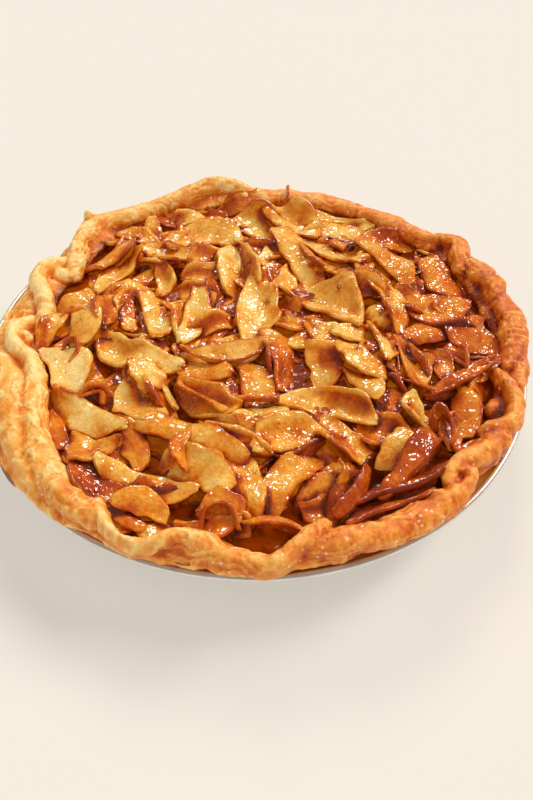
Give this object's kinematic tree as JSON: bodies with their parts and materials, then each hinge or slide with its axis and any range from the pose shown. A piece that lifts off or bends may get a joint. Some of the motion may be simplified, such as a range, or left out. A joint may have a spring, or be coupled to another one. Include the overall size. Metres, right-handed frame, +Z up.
{
  "type": "apple pie",
  "caption": "Open-faced round apple pie: a shallow foil pan lined with folded pastry that holds a low heap of glazed apple slices; a prepared dessert for a table or counter",
  "frame": {"origin": "centre of the pan's flat underside, on the surface it rests on", "axes": "+Z up out of the pan, -Y the front, +X to the right seen from the front"},
  "size_m": [0.2457, 0.2466, 0.0495],
  "materials": {
    "pan": "thin bright foil with a soft sheen",
    "crust": "golden baked pastry, dull, darker where it is browned",
    "filling": "glazed cooked apple in dark syrup, shiny"
  },
  "bodies": {
    "root": {"pan": "pan", "crust": "crust", "filling": "filling"}
  },
  "joints": []
}
